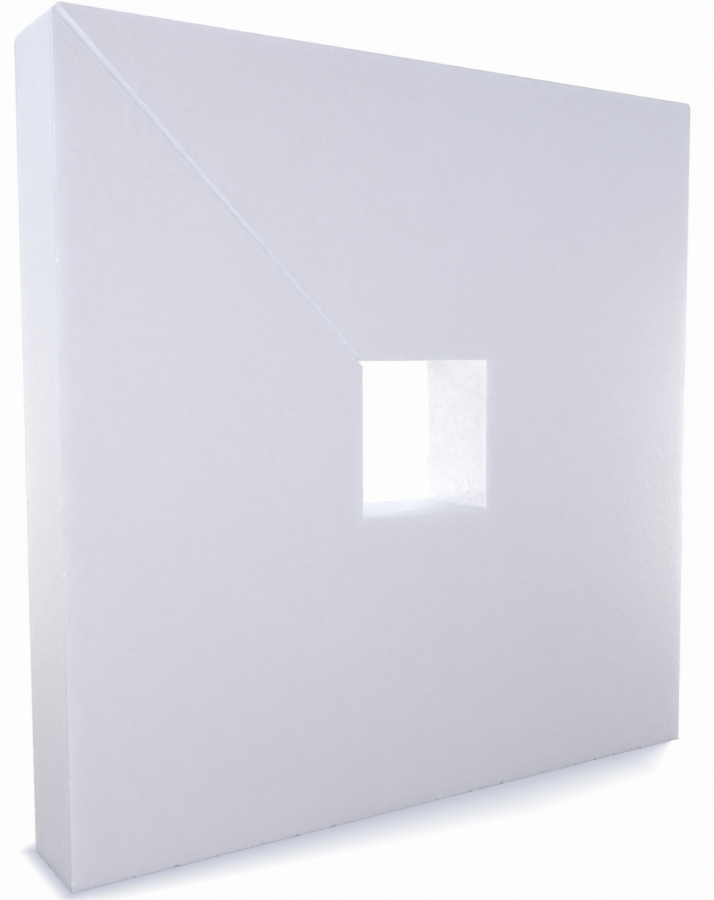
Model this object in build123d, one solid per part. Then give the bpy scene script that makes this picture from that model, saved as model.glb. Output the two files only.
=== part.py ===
from build123d import *
import os

# Square board of white bead foam, sliced from a block with a hot wire, all in one piece.
# It stands on its lower edge: X to the right, Y from the front face to the back, Z up,
# with the origin under the middle of the board.
board_width = 500.0
board_height = 500.0
board_thickness = 70.0

# Square hole through the middle, opened by the same wire
hole_width = 101.0
hole_height = 102.5
hole_rise = 3.0  # height of the hole's middle above the board's middle

# Slit that the wire left on its way from the top left corner to the hole
slit_top_mouth = 2.8  # opening along the top edge
slit_side_mouth = 2.8  # opening along the left edge
slit_throat = 3.6  # opening down the left wall of the hole
slit_bow = 0.7  # how far the lower lip arches towards the upper one

# Soft arrises round the front and back faces, where the beads are rubbed down
arris_radius = 0.8

# Wear: the top right corner rubbed round, the back top left corner broken off
worn_corner_radius = 4.0
break_run = 9.0  # along the top edge
break_depth = 12.0  # towards the front
break_drop = 8.0  # down the left edge

left = -board_width / 2
right = board_width / 2
back = board_thickness / 2
hole_left = -hole_width / 2
hole_right = hole_width / 2
hole_middle = board_height / 2 + hole_rise
hole_bottom = hole_middle - hole_height / 2
hole_top = hole_middle + hole_height / 2


def wire_path():
    """The wire's way, seen from the front: round the board, along the slit, round the hole and out."""
    upper_mouth = Vector(left + slit_top_mouth, board_height)
    lower_mouth = Vector(left, board_height - slit_side_mouth)
    upper_throat = Vector(hole_left, hole_top)
    lower_throat = Vector(hole_left, hole_top - slit_throat)

    rim = Polyline(upper_mouth, (right, board_height), (right, 0), (left, 0), lower_mouth)
    across = (lower_throat - lower_mouth).normalized().rotate(Axis.Z, 90)
    crown = (lower_mouth + lower_throat) / 2 + across * slit_bow
    lower_lip = ThreePointArc(lower_mouth, crown, lower_throat)
    hole = Polyline(
        lower_throat,
        (hole_left, hole_bottom),
        (hole_right, hole_bottom),
        (hole_right, hole_top),
        upper_throat,
    )
    upper_lip = Line(upper_throat, upper_mouth)
    return make_face(rim + lower_lip + hole + upper_lip)


def break_plane():
    """The flat break across the back top left corner, facing away from the board."""
    along_top = Vector(left + break_run, back, board_height)
    along_depth = Vector(left, back - break_depth, board_height)
    down_side = Vector(left, back, board_height - break_drop)
    outward = (down_side - along_top).cross(along_depth - along_top)
    return Plane(origin=along_top, z_dir=outward)


def foam_board():
    """The cut board with its worn corner, its soft arrises and its broken corner."""
    board = extrude(Plane.XZ.offset(-back) * wire_path(), amount=board_thickness)
    corners = board.edges().filter_by(Axis.Y)
    board = fillet(corners.group_by(Axis.X)[-1].sort_by(Axis.Z)[-1], worn_corner_radius)
    board = fillet(board.faces().filter_by(Axis.Y).edges(), arris_radius)
    return split(board, bisect_by=break_plane(), keep=Keep.BOTTOM)


os.makedirs("parts", exist_ok=True)
export_step(foam_board(), "parts/foam_board.step")
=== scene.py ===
# %% [markdown]
# # A foam insulation board
# This lesson dresses one piece: a square board of white bead foam with a square hole and a slit.
# The construction model comes first. It is loaded as a fixed frame, in metres, standing on Z = 0 with
# its front face looking along -Y. Everything below is made in that frame, so nothing is fitted later.

# %% Load the construction model
import math
import random
import bmesh
import bpy
from mathutils import Matrix, Vector, noise


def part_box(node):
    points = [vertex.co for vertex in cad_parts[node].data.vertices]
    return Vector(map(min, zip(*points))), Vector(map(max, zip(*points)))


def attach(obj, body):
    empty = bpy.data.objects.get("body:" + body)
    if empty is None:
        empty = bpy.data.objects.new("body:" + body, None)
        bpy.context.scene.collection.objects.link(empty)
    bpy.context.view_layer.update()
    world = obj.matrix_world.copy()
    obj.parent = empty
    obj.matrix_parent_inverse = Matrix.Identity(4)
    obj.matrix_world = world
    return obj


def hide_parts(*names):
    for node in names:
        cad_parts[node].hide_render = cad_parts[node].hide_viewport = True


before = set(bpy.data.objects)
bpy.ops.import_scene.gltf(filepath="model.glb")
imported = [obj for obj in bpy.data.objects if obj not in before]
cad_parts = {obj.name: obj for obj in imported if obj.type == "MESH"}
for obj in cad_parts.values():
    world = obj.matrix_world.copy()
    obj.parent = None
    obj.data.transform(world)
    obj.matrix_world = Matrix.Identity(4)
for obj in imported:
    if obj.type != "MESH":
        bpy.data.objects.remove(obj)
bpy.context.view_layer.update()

MM = 0.001
left, front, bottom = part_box("foam_board")[0]
right, back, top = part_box("foam_board")[1]
width, thickness, height = right - left, back - front, top - bottom
print(f"board {width / MM:.1f} x {thickness / MM:.1f} x {height / MM:.1f} mm")

# %% [markdown]
# ## The way of the hot wire
# The real board was cut by a hot wire: round the outside, in from the top left corner, round the hole and
# out the same way. So the outline is one closed line, and the slit is simply where the line comes close to
# itself. A boolean with two cutters would give the same holes, but this line also gives us the lips of the
# slit as rows of points, and a hand-led wire never runs quite straight, so each lip may sway a little.

# %% Lay out the outline
hole_width = 101.0 * MM
hole_height = 102.5 * MM
hole_middle = (bottom + top) / 2 + 3.0 * MM
hole_left, hole_right = -hole_width / 2, hole_width / 2
hole_bottom, hole_top = hole_middle - hole_height / 2, hole_middle + hole_height / 2

slit_mouth = 2.8 * MM
slit_throat = 3.6 * MM
slit_bow = 0.7 * MM
sway = 0.22 * MM
sway_length = 34.0 * MM
lip_step = 4.0 * MM


def lip(start, end, bow, seed):
    """Points along one lip of the slit: a shallow arch with the small sway of the wire."""
    run = end - start
    across = Vector((-run.z, 0, run.x)).normalized()
    count = round(run.length / lip_step)
    points = []
    for i in range(count + 1):
        share = i / count
        ends_held = math.sin(math.pi * share) ** 0.5 if 0 < i < count else 0
        shake = noise.noise((share * run.length / sway_length, seed, 0)) * sway * ends_held
        points.append(start + run * share + across * (bow * 4 * share * (1 - share) + shake))
    return points


def at(x, z):
    return Vector((x, front, z))


lower_lip = lip(at(left, top - slit_mouth), at(hole_left, hole_top - slit_throat), bow=slit_bow, seed=3.7)
upper_lip = lip(at(hole_left, hole_top), at(left + slit_mouth, top), bow=0, seed=8.1)
rim = [at(right, top), at(right, bottom), at(left, bottom)]
hole = [at(hole_left, hole_bottom), at(hole_right, hole_bottom), at(hole_right, hole_top)]
wire_path = rim + lower_lip + hole + upper_lip
slit_run = lower_lip[-1] - lower_lip[0]
slit_across = Vector((-slit_run.z, 0, slit_run.x)).normalized()
slit_middle = (lower_lip[0] + lower_lip[-1] + upper_lip[0] + upper_lip[-1]) / 4
print(f"wire path of {len(wire_path)} points, slit of {slit_run.length / MM:.0f} mm")

# %% [markdown]
# ## Trace the line, point by point
# A single vertex is the start, made from a plane that is merged at its middle. It is then extruded from
# point to point, as one would click round a drawing, and the last vertex is joined to the first. A
# small helper does the selecting: in a script we pick by place, where a hand would pick by eye.

# %% Trace the outline
same_place = 0.01 * MM


def pick(kind, test):
    """Selects, in edit mode, only the verts, edges or faces that pass the test, and returns how many did."""
    shape = bmesh.from_edit_mesh(bpy.context.object.data)
    bpy.ops.mesh.select_mode(type={"verts": "VERT", "edges": "EDGE", "faces": "FACE"}[kind])
    bpy.ops.mesh.select_all(action="DESELECT")
    chosen = [part for part in getattr(shape, kind) if test(part)]
    for part in chosen:
        part.select_set(True)
    bmesh.update_edit_mesh(bpy.context.object.data)
    return len(chosen)


bpy.ops.object.select_all(action="DESELECT")
bpy.ops.mesh.primitive_plane_add(size=hole_width)
board = bpy.context.object
board.name = board.data.name = "bead_foam_board"
bpy.ops.object.mode_set(mode="EDIT")
bpy.ops.mesh.merge(type="CENTER")
bpy.ops.transform.translate(value=wire_path[0])
for here, there in zip(wire_path, wire_path[1:] + wire_path[:1]):
    bpy.ops.mesh.extrude_vertices_move(TRANSFORM_OT_translate={"value": there - here})
bpy.ops.mesh.select_all(action="SELECT")
bpy.ops.mesh.remove_doubles(threshold=same_place)
bpy.ops.mesh.edge_face_add()
print(f"outline of {len(bmesh.from_edit_mesh(board.data).verts)} vertices")

# %% [markdown]
# ## Worn corner, blunt tips and a fine pitch
# The top right corner is rubbed round and the two thin tips at the mouth of the slit are blunt: a vertex
# bevel rounds all three. Then every edge is halved until it is shorter than half a bead, and round the hole
# until it is shorter than a quarter, so that arrises and walls can be uneven later. The face is taken off for
# that and put back afterwards, because halving the rim of a face would also cut the face up.

# %% Round the corners and refine the outline
worn_corner = 4.0 * MM
blunt_tip = 1.9 * MM
rim_edge, hole_edge = 2.0 * MM, 1.0 * MM


def near(point, reach=0.1 * MM):
    return lambda vert: (vert.co - point).length < reach


def too_long(edge):
    middle = (edge.verts[0].co + edge.verts[1].co) / 2
    at_hole = abs(middle.x) <= hole_right and abs(middle.z - hole_middle) <= hole_height / 2
    return edge.calc_length() > (hole_edge if at_hole else rim_edge)


pick("verts", near(at(right, top)))
bpy.ops.mesh.bevel(offset=worn_corner, offset_type="OFFSET", segments=5, affect="VERTICES")
for tip in (lower_lip[0], upper_lip[-1]):
    pick("verts", near(tip))
    bpy.ops.mesh.bevel(offset=blunt_tip, offset_type="OFFSET", segments=4, affect="VERTICES")
bpy.ops.mesh.select_all(action="SELECT")
bpy.ops.mesh.delete(type="ONLY_FACE")
while pick("edges", too_long):
    bpy.ops.mesh.subdivide(number_cuts=1)
bpy.ops.mesh.select_all(action="SELECT")
bpy.ops.mesh.edge_face_add()
print(f"refined outline of {len(bmesh.from_edit_mesh(board.data).verts)} vertices")

# %% [markdown]
# ## Give the outline its thickness
# The wire is stretched straight through the block, so the walls are the outline pushed back unchanged.
# The face is extruded in steps of about one bead, which leaves rows across the walls.

# %% Extrude the board
bead = 5.0 * MM
rows = round(thickness / bead)
for row in range(rows):
    bpy.ops.mesh.extrude_region_move(TRANSFORM_OT_translate={"value": (0, thickness / rows, 0)})
bpy.ops.mesh.select_all(action="SELECT")
bpy.ops.mesh.normals_make_consistent(inside=False)
print(f"board of {len(bmesh.from_edit_mesh(board.data).faces)} faces")

# %% [markdown]
# ## Soft arrises
# Foam never keeps a knife edge: the beads along the rim are rubbed down. Every edge between a broad face
# and a wall is bevelled to a small radius. The rows in the middle of the bevel, which lie neither on a broad
# face nor on a wall, become a vertex group for the crumbling later, which then can't pull the flat faces out
# of true. Nothing rubs inside the slit, so its clean lips and its thin tips stay out of that group.

# %% Bevel the arrises
arris = 0.5 * MM
tip_guard = 8.0 * MM
rim_angle = math.radians(60)


def on_slit(point):
    """True on the lips of the slit and on the two tips at its mouth."""
    tips = (lower_lip[0], upper_lip[-1])
    at_tip = any((at(point.x, point.z) - tip).length < slit_mouth for tip in tips)
    at_lip = point.x < hole_left and abs((point - slit_middle).dot(slit_across)) < slit_throat
    return at_tip or at_lip


def on_rim(edge):
    flat = abs(edge.verts[0].co.y - edge.verts[1].co.y) < arris
    return flat and len(edge.link_faces) == 2 and edge.calc_face_angle() > rim_angle


def crumbles(vert):
    between = back - arris * 0.99 < abs(vert.co.y) < back - arris * 0.01
    at_tip = (at(vert.co.x, vert.co.z) - at(left, top)).length < tip_guard
    return between and not at_tip and not on_slit(vert.co)


print(pick("edges", on_rim), "rim edges")
bpy.ops.mesh.bevel(offset=arris, offset_type="OFFSET", segments=4, profile=0.5)
print(pick("verts", crumbles), "points on the arrises can crumble")
bpy.ops.object.vertex_group_assign_new()
board.vertex_groups[-1].name = "arris"

# %% [markdown]
# ## Rows across the broad faces
# The front and the back are still single faces with thousands of corners. Cutting them into squares keeps the
# mesh tidy, and a later hand can dent a square without moving the whole face. Loop cuts need a face of four
# sides, so we bisect instead, at even steps.

# %% Divide the broad faces
square = 25.0 * MM


def broad(face):
    return abs(face.normal.y) > 0.9999


for axis, low, high in ((Vector((1, 0, 0)), left, right), (Vector((0, 0, 1)), bottom, top)):
    steps = round((high - low) / square)
    for step in range(1, steps):
        pick("faces", broad)
        bpy.ops.mesh.bisect(plane_co=axis * (low + (high - low) * step / steps), plane_no=axis)
print(pick("faces", broad), "squares on the broad faces")

# %% [markdown]
# ## Bead lumps on the walls of the hole
# The outside was cut in the works with a fast, taut wire and is smooth. The hole was cut by hand, slowly, and
# there the beads have melted back unevenly, so its walls are lumpy. Here those walls get finer rows, by
# splitting only the edges that run through the board, and a vertex group of their own. The lumps come later.

# %% Divide the walls of the hole
hole_reach = 3.0 * MM


def in_hole(point):
    wide = abs(point.x) < hole_right + hole_reach
    tall = hole_bottom - hole_reach < point.z < hole_top + hole_reach
    return wide and tall and abs(point.y) < back - arris * 0.9


def on_hole_wall(edge):
    run = edge.verts[1].co - edge.verts[0].co
    return abs(run.normalized().y) > 0.99 and all(in_hole(vert.co) for vert in edge.verts)


print(pick("edges", on_hole_wall), "edges run through the hole")
bpy.ops.mesh.subdivide(number_cuts=3)
print(pick("verts", lambda vert: in_hole(vert.co)), "points on the walls of the hole")
bpy.ops.object.vertex_group_assign_new()
board.vertex_groups[-1].name = "hole_walls"

# %% [markdown]
# ## The broken corner
# The back top left corner has snapped off. A bisect throws away what lies outside a slanting plane and fills
# the cut. Bead foam breaks between its beads, so the fill is split up and shaken with a fractal subdivide,
# which gives lumps instead of a clean chamfer.

# %% Break the back corner off
break_run, break_depth, break_drop = 9.0 * MM, 12.0 * MM, 8.0 * MM
break_points = [
    Vector((left + break_run, back, top)),
    Vector((left, back - break_depth, top)),
    Vector((left, back, top - break_drop)),
]
break_normal = (break_points[2] - break_points[0]).cross(break_points[1] - break_points[0]).normalized()
bpy.ops.mesh.select_mode(type="FACE")
bpy.ops.mesh.select_all(action="SELECT")
bpy.ops.mesh.bisect(plane_co=break_points[0], plane_no=break_normal, use_fill=True, clear_outer=True)
print(pick("faces", lambda face: face.normal.dot(break_normal) > 0.999), "broken faces")
bpy.ops.mesh.poke()
bpy.ops.mesh.subdivide(number_cuts=3, fractal=0.25, fractal_along_normal=0.6, seed=5)
bpy.ops.mesh.select_all(action="SELECT")
bpy.ops.mesh.normals_make_consistent(inside=False)
bpy.ops.object.mode_set(mode="OBJECT")
print(f"board of {len(board.data.polygons)} faces")

# %% [markdown]
# ## Crumbled edges and melted walls
# Rubbing takes some beads of an arris down further than others, and the slow wire has eaten deeper into some
# beads of the hole than into others. Both are a Displace modifier with a cell pattern of bead size, on its
# own vertex group. It pushes the points into the foam, never out of it: the middle level of 1 means that.

# %% Sink the beads


def sink_beads(group, cell, depth):
    """Pushes the points of a vertex group inwards by up to a depth, in cells of a given size."""
    cells = bpy.data.textures.new(group + "_beads", "VORONOI")
    cells.noise_scale = cell
    cells.use_clamp = True
    sink = board.modifiers.new(group, "DISPLACE")
    sink.texture = cells
    sink.texture_coords = "LOCAL"
    sink.vertex_group = group
    sink.mid_level = 1.0
    sink.strength = depth
    bpy.ops.object.modifier_apply(modifier=sink.name)
    print(f"{group} sunk by up to {depth / MM:.2f} mm")


sink_beads("arris", cell=bead * 0.8, depth=0.22 * MM)
sink_beads("hole_walls", cell=bead * 0.6, depth=0.7 * MM)

# %% [markdown]
# ## Lost beads
# Here and there a whole bead has come out of an edge. Each pit is the print of a ball: small balls are laid
# along the edges, joined, and taken out of the board with a boolean. The places are seeded, so every run
# gives the same board.

# %% Knock out some beads
chance = random.Random(12)
corner_gap, mouth_gap = 20 * MM, 110 * MM
smallest_pit, largest_pit = bead * 0.22, bead * 0.42
standing_out = 0.35
edge_runs = [
    (at(left, bottom), at(right, bottom), 17),
    (at(left, bottom), at(left, top - mouth_gap), 7),
    (at(right, bottom), at(right, top - corner_gap), 7),
    (at(left + corner_gap, top), at(right - corner_gap, top), 6),
]
bpy.ops.object.select_all(action="DESELECT")
balls = []
for start, end, count in edge_runs:
    for side in (front, back):
        for i in range(count):
            spot = start.lerp(end, (i + chance.random()) / count)
            spot.y = side
            outward = Vector((spot.x, 0, spot.z - hole_middle)).normalized()
            outward.y = math.copysign(1, side)
            size = chance.uniform(smallest_pit, largest_pit)
            ball_place = spot + outward * size * standing_out
            bpy.ops.mesh.primitive_ico_sphere_add(subdivisions=2, radius=size, location=ball_place)
            balls.append(bpy.context.object)
for ball in balls:
    ball.select_set(True)
bpy.ops.object.join()
lost_beads = bpy.context.object
bpy.ops.object.select_all(action="DESELECT")
board.select_set(True)
bpy.context.view_layer.objects.active = board
pits = board.modifiers.new("lost beads", "BOOLEAN")
pits.object = lost_beads
pits.operation = "DIFFERENCE"
pits.solver = "MANIFOLD"
bpy.ops.object.modifier_apply(modifier=pits.name)
bpy.data.objects.remove(lost_beads, do_unlink=True)
bpy.ops.object.shade_smooth_by_angle(angle=math.radians(38))
flatten = board.modifiers.new("true faces", "WEIGHTED_NORMAL")
flatten.keep_sharp = True
bpy.ops.object.modifier_apply(modifier=flatten.name)
print(f"{len(balls)} pits, board of {len(board.data.polygons)} faces")

# %% [markdown]
# ## Mark the walls and the edges
# The foam's material needs to know where it is. Two numbers on each point travel with the mesh and can be
# read by the material. The first is 1 on the hand-cut walls of the hole. The second is painted light on the
# arrises: 1 on the lips of the slit, which the material lightens as a painted highlight, and -1 on the outer
# arrises and the very rim of the hole, which it darkens as painted shade.

# %% Store the marks


# Painted light on the arrises: 1 gives the lips of the slit a painted highlight, -1 gives the outer arrises
# painted shade.
def painted_arris_level(point):
    if not back - arris * 1.05 < abs(point.y) < back - arris * 0.02:
        return 0.0
    if on_slit(point):
        return 1.0
    return 0.0 if in_hole(point * 0.99) else -1.0


hand_cut = board.data.attributes.new("hand_cut", "FLOAT", "POINT")
painted_arris_light = board.data.attributes.new("painted_arris_light", "FLOAT", "POINT")
for i, vert in enumerate(board.data.vertices):
    hand_cut.data[i].value = 1.0 if in_hole(vert.co) else 0.0
    painted_arris_light.data[i].value = painted_arris_level(vert.co)
print(sum(mark.value > 0 for mark in painted_arris_light.data), "points on the lips of the slit")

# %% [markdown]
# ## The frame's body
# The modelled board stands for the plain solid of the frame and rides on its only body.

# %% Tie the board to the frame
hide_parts("foam_board")
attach(board, "root")
print(board.name, "stands for foam_board")

# %% [markdown]
# ## Expanded polystyrene, cut with a hot wire
# The foam is thousands of white beads steamed together, each about 5 mm across and full of air. Light enters,
# wanders about and comes out some millimetres away, so edges glow and no shade is hard: that asks for
# subsurface scattering. The wire melts a thin satin skin on the cut, which sinks a little between the beads.
# A Voronoi pattern in three dimensions gives the beads, because a plane through it shows cells of all sizes,
# as the cut shows beads.

# %% Start the foam's nodes


def linear(code):
    """An sRGB hex colour as the linear colour that shaders take."""
    parts = [int(code[i:i + 2], 16) / 255 for i in (1, 3, 5)]
    return [c / 12.92 if c <= 0.04045 else ((c + 0.055) / 1.055) ** 2.4 for c in parts] + [1]


def node(tree, kind, inputs=None, **settings):
    """Adds a node, sets its properties, and fills or links its inputs."""
    made = tree.nodes.new(kind)
    for name, value in settings.items():
        setattr(made, name, value)
    for name, value in (inputs or {}).items():
        if isinstance(value, bpy.types.NodeSocket):
            tree.links.new(value, made.inputs[name])
        else:
            made.inputs[name].default_value = value
    return made


foam = bpy.data.materials.new("expanded_polystyrene_hot_wire_cut")
foam.use_nodes = True
tree = foam.node_tree
place = node(tree, "ShaderNodeTexCoord").outputs["Object"]
waver = node(tree, "ShaderNodeTexNoise", {"Vector": place, "Scale": 0.6 / bead, "Detail": 1.0})
spread = {0: waver.outputs["Color"], 1: Vector((1, 1, 1)) * bead * 0.35, 2: place}
wavy = node(tree, "ShaderNodeVectorMath", spread, operation="MULTIPLY_ADD").outputs[0]
cut_bead = 3.6 * MM
beads = node(tree, "ShaderNodeTexVoronoi", {"Vector": wavy, "Scale": 1 / cut_bead, "Randomness": 0.9})
print("cut beads", cut_bead / MM, "mm apart")

# %% [markdown]
# ### Relief of the cut
# The distance from the middle of a bead, smoothed, is a soft dome that ends in a flat valley, so there is no
# hard crease between two beads. A finer noise breaks the domes up, as the cells inside the beads do. The
# relief is deep on the hand-cut walls and shallow on the rest.

# %% Shape the relief
fine_cell = 2.6 * MM
cells = node(tree, "ShaderNodeTexNoise", {"Vector": place, "Scale": 1 / fine_cell, "Detail": 1.0})
from_middle = {"Value": beads.outputs["Distance"], "From Min": 0.1, "From Max": 0.65,
               "To Min": 1.0, "To Max": 0.0}
dome = node(tree, "ShaderNodeMapRange", from_middle, interpolation_type="SMOOTHSTEP")
broken_up = {0: cells.outputs[0], 1: 0.4, 2: dome.outputs[0]}
domes = node(tree, "ShaderNodeMath", broken_up, operation="MULTIPLY_ADD")
mark = node(tree, "ShaderNodeAttribute", attribute_name="hand_cut")
depth = node(tree, "ShaderNodeMapRange", {"Value": mark.outputs["Fac"], "To Min": 0.18, "To Max": 0.75})
cut_relief = {"Height": domes.outputs[0], "Distance": 0.8 * MM, "Strength": depth.outputs[0]}
relief = node(tree, "ShaderNodeBump", cut_relief)
print(f"relief with cells of {fine_cell / MM:.1f} mm")

# %% [markdown]
# ### How far the light wanders
# In thick foam the light comes out again some 10 mm away. Beside the slit that would spread the light of
# its walls over the face, which a real board doesn't show, because there the foam on both sides is equally
# bright. So the reach shrinks towards the line of the slit, and on the lumpy walls of the hole, where it
# would wash out the lumps.

# %% Set the reach of the light
shortest_reach, longest_reach = 1 * MM, 10 * MM
along = node(tree, "ShaderNodeVectorMath", {0: place, 1: slit_across}, operation="DOT_PRODUCT")
slit_line = slit_middle.dot(slit_across)
offset = node(tree, "ShaderNodeMath", {0: along.outputs["Value"], 1: slit_line}, operation="SUBTRACT")
beside = node(tree, "ShaderNodeMath", {0: offset.outputs[0]}, operation="ABSOLUTE")
x_place = node(tree, "ShaderNodeSeparateXYZ", {0: place}).outputs["X"]
beyond = node(tree, "ShaderNodeMath", {0: x_place, 1: hole_left}, operation="SUBTRACT")
clear_by = node(tree, "ShaderNodeMath", {0: beside.outputs[0], 1: beyond.outputs[0]}, operation="MAXIMUM")
growing = {"Value": clear_by.outputs[0], "From Min": 4 * MM, "From Max": 40 * MM,
           "To Min": shortest_reach, "To Max": longest_reach}
reach = node(tree, "ShaderNodeMapRange", growing, interpolation_type="SMOOTHSTEP")
lumpy = node(tree, "ShaderNodeMapRange", {"Value": mark.outputs["Fac"], "To Min": 1.0, "To Max": 0.5})
scatter = node(tree, "ShaderNodeMath", {0: reach.outputs[0], 1: lumpy.outputs[0]}, operation="MULTIPLY")
print(f"light wanders up to {longest_reach / MM:.0f} mm")

# %% [markdown]
# ### Colour and gloss
# The foam is a nearly pure white. Beads differ by about one part in a hundred, and the melted skin is a
# little shinier on some beads than on others. By the second mark, the lips of the slit are a little whiter,
# a painted highlight, and the outer arrises a little greyer, painted shade. Along the foot, short stretches
# are darker, painted shade where the arris meets the floor: a noise cut off at a level.

# %% Colour the foam
white_bead = linear("#F2F3F7")
grey_bead = linear("#F0F1F5")
shade = node(tree, "ShaderNodeSeparateColor", {0: beads.outputs["Color"]})
two_whites = {0: shade.outputs[0], 6: grey_bead, 7: white_bead}
foam_colour = node(tree, "ShaderNodeMix", two_whites, data_type="RGBA")
gloss = node(tree, "ShaderNodeMapRange", {"Value": shade.outputs[1], "To Min": 0.48, "To Max": 0.66})

# Painted light on the arrises: the second mark makes the lips of the slit 9 % lighter, a painted highlight,
# and the outer arrises 9 % darker, painted shade.
edge = node(tree, "ShaderNodeAttribute", attribute_name="painted_arris_light").outputs["Fac"]
painted_edge_range = {"Value": edge, "From Min": -1.0, "To Min": 0.91, "To Max": 1.09}
painted_edge_light = node(tree, "ShaderNodeMapRange", painted_edge_range)
# Painted shade along the foot: within 2 mm of the floor, short stretches of noise darken the foam to 60 %,
# where the arris meets the floor.
rise = node(tree, "ShaderNodeSeparateXYZ", {0: place}).outputs["Z"]
near_floor = {"Value": rise, "From Min": 0.6 * MM, "From Max": 2.0 * MM, "To Min": 1.0, "To Max": 0.0}
foot = node(tree, "ShaderNodeMapRange", near_floor)
stretches = node(tree, "ShaderNodeTexNoise", {"Vector": place, "Scale": 1 / (7 * MM), "Detail": 3.0})
shaded_stretches = node(tree, "ShaderNodeMapRange", {"Value": stretches.outputs[0], "From Min": 0.57, "From Max": 0.64})
painted_foot_shade = node(tree, "ShaderNodeMath", {0: foot.outputs[0], 1: shaded_stretches.outputs[0]}, operation="MULTIPLY")
foot_shade_factor = node(tree, "ShaderNodeMapRange", {"Value": painted_foot_shade.outputs[0], "To Min": 1.0, "To Max": 0.6})
painted_light_and_shade = node(tree, "ShaderNodeMath", {0: painted_edge_light.outputs[0], 1: foot_shade_factor.outputs[0]}, operation="MULTIPLY")
both_tones = {0: 1.0, 6: foam_colour.outputs[2], 7: painted_light_and_shade.outputs[0]}
toned = node(tree, "ShaderNodeMix", both_tones, data_type="RGBA", blend_type="MULTIPLY")
print(f"white {white_bead[1]:.2f}, grey {grey_bead[1]:.2f}, linear")

# %% [markdown]
# ### The shader
# All of it meets in one Principled shader. What is the same all over is set on its own sockets, and only the
# reach, the colour, the gloss and the relief are linked.

# %% Join the foam's nodes
skin = tree.nodes["Principled BSDF"]
skin.subsurface_method = "BURLEY"
skin.inputs["IOR"].default_value = 1.5
skin.inputs["Subsurface Weight"].default_value = 0.6
skin.inputs["Subsurface Radius"].default_value = (1.0, 1.0, 1.0)
tree.links.new(scatter.outputs[0], skin.inputs["Subsurface Scale"])
tree.links.new(toned.outputs[2], skin.inputs["Base Color"])
tree.links.new(gloss.outputs[0], skin.inputs["Roughness"])
tree.links.new(relief.outputs[0], skin.inputs["Normal"])
board.data.materials.clear()
board.data.materials.append(foam)
print(f"foam of {len(tree.nodes)} nodes")

# %% [markdown]
# ## White paper under the board
# The board stands on white paper that is lit so evenly that no horizon is left, so to the camera the paper
# is plain white. To all other rays it is a pale, matt surface, which throws some light back up at the foam.
# One large plane is enough, because the room behind it is as white as the paper.

# %% Lay the paper floor
bpy.ops.object.select_all(action="DESELECT")
paper_side = 60.0
bpy.ops.mesh.primitive_plane_add(size=paper_side)
floor = bpy.context.object
floor.name = "floor"
paper_white = linear("#FDFDFD")
contact_grey = linear("#C0C4D4")
widest_shadow = 55.0 * MM

paper = bpy.data.materials.new("white_paper_floor")
paper.use_nodes = True
tree = paper.node_tree
matt = tree.nodes["Principled BSDF"]
matt.inputs["Base Color"].default_value = linear("#BCBCBC")
matt.inputs["Roughness"].default_value = 1.0
matt.inputs["Specular IOR Level"].default_value = 0.0
print(f"paper of {paper_side:.0f} m")

# %% [markdown]
# ### The grey band along the foot
# Along the foot of the board the paper isn't plain white: the foam keeps light away there, and a soft grey
# band lies on the paper. It is darkest at the foot and fades evenly with the distance from the board, so the
# distance is all that we need: take the absolute place, subtract half the board, and what is left above zero
# is the gap. A short ramp says how wide the band is along the board: narrow at the left, widest past the
# middle, gone at the right end, where light comes round the corner.

# %% Measure the gap to the board
on_paper = node(tree, "ShaderNodeTexCoord").outputs["Object"]
mirrored = node(tree, "ShaderNodeVectorMath", {0: on_paper}, operation="ABSOLUTE").outputs[0]
half_board = Vector((width / 2, thickness / 2, 0))
past_board = node(tree, "ShaderNodeVectorMath", {0: mirrored, 1: half_board}, operation="SUBTRACT").outputs[0]
outside = node(tree, "ShaderNodeVectorMath", {0: past_board, 1: Vector()}, operation="MAXIMUM").outputs[0]
gap = node(tree, "ShaderNodeVectorMath", {0: outside}, operation="LENGTH").outputs["Value"]
band_start, band_end = left - 8 * MM, right - 10 * MM
along_board = node(tree, "ShaderNodeSeparateXYZ", {0: on_paper}).outputs["X"]
stretch = {"Value": along_board, "From Min": band_start, "From Max": band_end}
share = node(tree, "ShaderNodeMapRange", stretch)
band = node(tree, "ShaderNodeValToRGB", {0: share.outputs[0]})
for position, level in ((0.05, 0.40), (0.62, 1.0), (0.88, 0.80)):
    band.color_ramp.elements.new(position).color = (level, level, level, 1)
band.color_ramp.elements[0].color = (0.18, 0.18, 0.18, 1)
band.color_ramp.elements[-1].color = (0.02, 0.02, 0.02, 1)
band_width = node(tree, "ShaderNodeMath", {0: band.outputs[0], 1: widest_shadow}, operation="MULTIPLY")
lit = node(tree, "ShaderNodeMapRange", {"Value": gap, "From Max": band_width.outputs[0]})
paper_tones = {0: lit.outputs[0], 6: contact_grey, 7: paper_white}
paper_tone = node(tree, "ShaderNodeMix", paper_tones, data_type="RGBA")
print(f"shadow of up to {widest_shadow / MM:.0f} mm")

# %% [markdown]
# ### Two ways to see the paper
# The Light Path node tells what kind of ray arrives. Rays that show the paper directly, or in a reflection,
# see the white with its grey band. All other rays only collect light, and see the plain pale surface.

# %% Finish the paper


def seen_directly(tree):
    """1 for camera, glossy and transmission rays, which show the white room, and 0 for the rest."""
    path = node(tree, "ShaderNodeLightPath").outputs
    looks = node(tree, "ShaderNodeMath", {0: path["Is Camera Ray"], 1: path["Is Glossy Ray"]})
    all_looks = {0: looks.outputs[0], 1: path["Is Transmission Ray"]}
    return node(tree, "ShaderNodeMath", all_looks, use_clamp=True).outputs[0]


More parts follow.
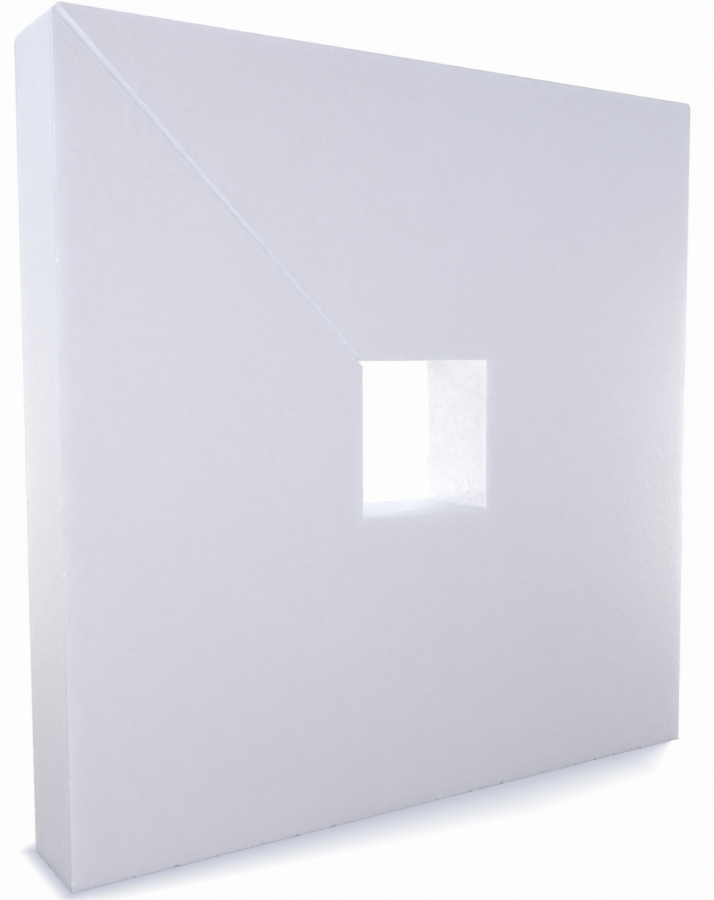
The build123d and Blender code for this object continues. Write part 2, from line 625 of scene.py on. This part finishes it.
glow = node(tree, "ShaderNodeEmission", {"Color": paper_tone.outputs[2]})
both = node(tree, "ShaderNodeMixShader", {0: seen_directly(tree), 1: matt.outputs[0], 2: glow.outputs[0]})
tree.links.new(both.outputs[0], tree.nodes["Material Output"].inputs["Surface"])
floor.data.materials.append(paper)
print(f"paper of {len(tree.nodes)} nodes")

# %% [markdown]
# ## The room
# Seen directly, the room is as white as the paper. As a light it is only a dim, cool fill, so that no side
# of the board goes dark, and the lamps still give the board its shape.

# %% Fill the room with dim light
scene = bpy.context.scene
scene.view_settings.view_transform = "Standard"
world = bpy.data.worlds.new("white_room")
scene.world = world
world.use_nodes = True
tree = world.node_tree
fill = linear("#595961")
seen = node(tree, "ShaderNodeMix", {0: seen_directly(tree), 6: fill, 7: paper_white}, data_type="RGBA")
tree.links.new(seen.outputs[2], tree.nodes["Background"].inputs["Color"])
print(f"room with a fill of {fill[1]:.2f}")

# %% [markdown]
# ## Soft boxes
# The key light is a very soft sun, high behind the board, as from a wide window. With a wide box beside it,
# it lights the back, the top and the floor of the hole, and leaves the face to the weaker lamps. A large box
# from the front left and two smaller ones from the middle and the right give the face its plain level. A cool
# one from high on the left lights the left side, and a small warm one grazes the right edge, where it brings
# out the relief of the cut. Behind the board a narrow beam from low on the left reaches the far wall of the
# hole.

# %% Set up the lamps


def aim(lamp, place, target):
    lamp.rotation_euler = (Vector(target) - Vector(place)).to_track_quat("-Z", "Y").to_euler()


def soft_box(name, place, target, size, watts, colour, beam=180):
    """A lamp of a given width and height, placed and aimed in metres, that the camera doesn't see."""
    bpy.ops.object.light_add(type="AREA", location=place)
    lamp = bpy.context.object
    lamp.name = name
    aim(lamp, place, target)
    lamp.data.shape = "RECTANGLE"
    lamp.data.size, lamp.data.size_y = size
    lamp.data.energy = watts
    lamp.data.color = linear(colour)[:3]
    lamp.data.spread = math.radians(beam)
    lamp.visible_camera = False


key_tilt, key_turn = math.radians(-48), math.radians(-14)
bpy.ops.object.light_add(type="SUN", rotation=(key_tilt, 0, key_turn))
key = bpy.context.object
key.name = "back_key"
key.data.energy = 1.22
key.data.angle = math.radians(70)
key.data.color = linear("#FAFEFF")[:3]
soft_box("back_left", (-0.65, 0.65, 0.18), (0.05, 0.0, 0.27), (0.30, 0.30), 0.285, "#FFFAE6", beam=45)
soft_box("back_high", (0.0, 0.42, 0.62), (0.0, 0.0, 0.20), (0.50, 0.30), 1.08, "#F8FBFF")
soft_box("front_left", (-0.95, -0.85, 0.33), (-0.20, -0.035, 0.28), (0.50, 0.50), 6.0, "#F7F4FF")
soft_box("front_middle", (-0.10, -0.60, 0.28), (-0.05, -0.035, 0.28), (0.25, 0.20), 0.66, "#FFFFFF")
soft_box("left_high", (-0.55, 0.02, 0.80), (-0.25, 0.0, 0.43), (0.25, 0.25), 0.135, "#E8F4FF", beam=50)
soft_box("right_edge", (0.40, -0.07, 0.22), (0.25, -0.02, 0.22), (0.06, 0.28), 0.39, "#FFF1E4")
soft_box("right_high", (0.45, -0.55, 0.55), (0.20, -0.035, 0.40), (0.25, 0.25), 0.87, "#E9EDFF")

# %% [markdown]
# ## Light inside the slit
# Foam passes light on inside, much further than a shader's scattering reaches, so the slit of a real board is
# no dark gap: its walls are about as bright as the face. A slim, faint lamp in the slit stands for that
# light. It lies a little behind the front lips and shines on the upper wall, the one seen from the left.

# %% Light the slit
glow_start, glow_depth = 2.5 * MM, 9.0 * MM
glow_place = slit_middle + Vector((0, glow_start + glow_depth / 2, 0))
glow_size = (glow_depth, slit_run.length * 0.98)
soft_box("slit_glow", glow_place, glow_place + slit_across, glow_size, 0.0027, "#F2F3F7")
print(f"slit lit over {glow_size[1] / MM:.0f} mm")

# %% [markdown]
# ## The camera
# The camera stands to the left of the board, a little above its middle, with a fairly long lens. Its place,
# its aim and its lens were worked out from the board's corners, and the small roll from its edges.

# %% Place the camera
camera_place = Vector((-454.9, -666.7, 307.2)) * MM
camera_aim = Vector((-55.3, -35.0, 247.0)) * MM
camera_roll = math.radians(-0.21)
bpy.ops.object.camera_add(location=camera_place)
camera = bpy.context.object
level_look = (camera_aim - camera_place).to_track_quat("-Z", "Y").to_matrix()
camera.rotation_euler = (level_look @ Matrix.Rotation(camera_roll, 3, "Z")).to_euler()
camera.data.lens = 46.36
camera.data.sensor_width = 36.0
scene.camera = camera
print(f"camera {(camera_aim - camera_place).length:.2f} m from its aim")
